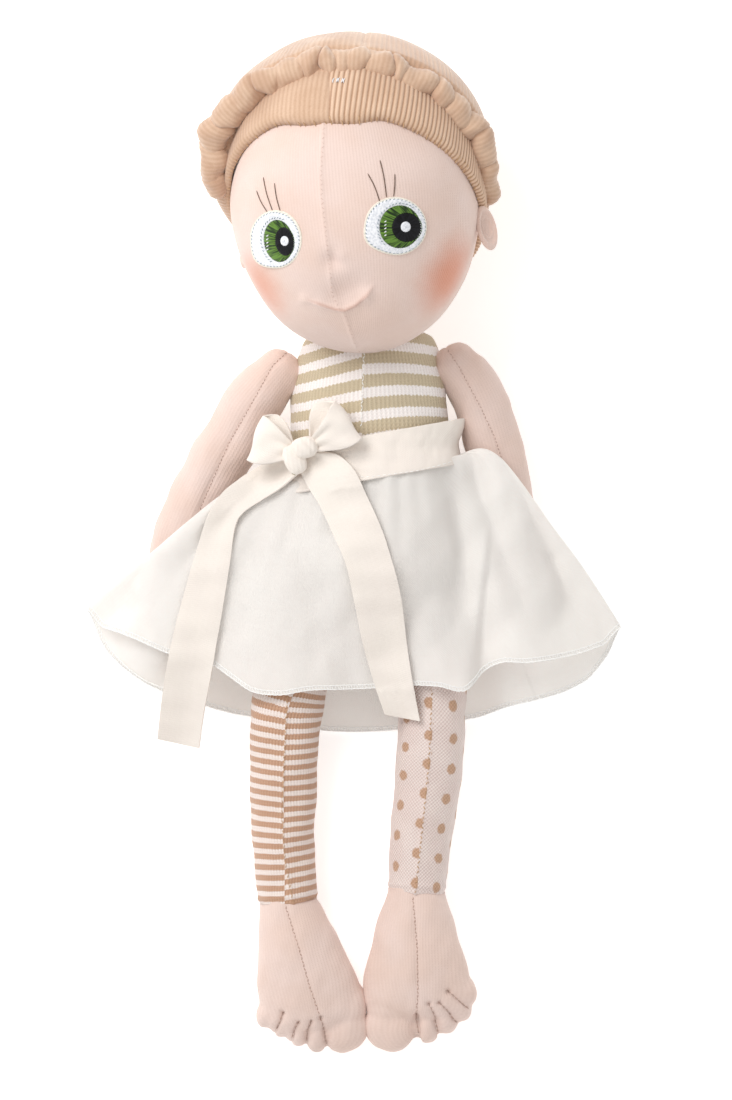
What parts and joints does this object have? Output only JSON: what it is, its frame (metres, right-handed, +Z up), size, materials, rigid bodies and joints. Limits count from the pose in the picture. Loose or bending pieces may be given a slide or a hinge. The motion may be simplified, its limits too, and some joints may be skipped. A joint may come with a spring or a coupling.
{
  "type": "cloth doll",
  "caption": "Soft stuffed cloth doll lying on its back, with a turned head, a gathered hair roll, a wide skirt, a tied sash and sewn toes.",
  "frame": {"origin": "on the table, under the middle of the doll's bounding box", "axes": "+Y from the toes to the crown, +Z up from the table, out of the face and belly, +X to the right of a viewer who looks at the face"},
  "size_m": [0.1839, 0.3499, 0.0858],
  "materials": {
    "skin_jersey": "brushed cotton jersey, matt",
    "hair_velour": "short-pile velour, matt",
    "hair_rib_knit": "fine vertical rib knit, matt",
    "body_stripe_knit": "knit in khaki and off-white stripes",
    "leg_stripe_knit": "knit in narrow tan and cream stripes",
    "leg_dot_knit": "cream knit with tan dots",
    "skirt_cotton": "thin off-white cotton voile",
    "sash_cotton": "cream plain-weave cotton",
    "white_thread": "satin embroidery thread",
    "green_thread": "satin embroidery thread",
    "black_thread": "satin embroidery thread"
  },
  "bodies": {
    "trunk": {"torso": "body_stripe_knit", "neck": "skin_jersey", "skirt": "skirt_cotton", "sash": "sash_cotton", "bow_knot": "sash_cotton", "bow_loop_left": "sash_cotton", "bow_loop_right": "sash_cotton", "bow_tail_left": "sash_cotton", "bow_tail_right": "sash_cotton"},
    "head_and_hair": {"head": "skin_jersey", "hair_band": "hair_rib_knit", "hair_crown": "hair_velour", "hair_roll": "hair_velour", "ear_left": "skin_jersey", "ear_right": "skin_jersey", "eye_patch_left": "white_thread", "iris_left": "green_thread", "pupil_left": "black_thread", "glint_left": "white_thread", "eye_patch_right": "white_thread", "iris_right": "green_thread", "pupil_right": "black_thread", "glint_right": "white_thread"},
    "left_arm": {"arm_left": "skin_jersey"},
    "right_arm": {"arm_right": "skin_jersey"},
    "left_leg": {"leg_left": "leg_stripe_knit", "foot_left": "skin_jersey"},
    "right_leg": {"leg_right": "leg_dot_knit", "foot_right": "skin_jersey"}
  },
  "joints": [
    {"name": "head_turn", "type": "hinge", "parent": "trunk", "child": "head_and_hair", "pos_m": [0, 0.1159, 0.043], "axis": [-0.1045, 0.9945, 0], "range_deg": [-35, 35]},
    {"name": "left_arm_swing", "type": "hinge", "parent": "trunk", "child": "left_arm", "pos_m": [-0.026, 0.0586, 0.02], "axis": [0, 0, -1], "range_deg": [0, 95], "deforming": ["skirt", "bow_tail_left"]},
    {"name": "right_arm_swing", "type": "hinge", "parent": "trunk", "child": "right_arm", "pos_m": [0.0346, 0.061, 0.02], "axis": [0, 0, 1], "range_deg": [0, 95], "deforming": ["skirt"]},
    {"name": "left_leg_lift", "type": "hinge", "parent": "trunk", "child": "left_leg", "pos_m": [-0.013, -0.0204, 0.0146], "axis": [-1, 0, 0], "range_deg": [0, 90], "deforming": ["skirt", "bow_tail_left", "bow_tail_right"]},
    {"name": "right_leg_lift", "type": "hinge", "parent": "trunk", "child": "right_leg", "pos_m": [0.0216, -0.0204, 0.0146], "axis": [-1, 0, 0], "range_deg": [0, 90], "deforming": ["skirt", "bow_tail_left", "bow_tail_right"]}
  ]
}
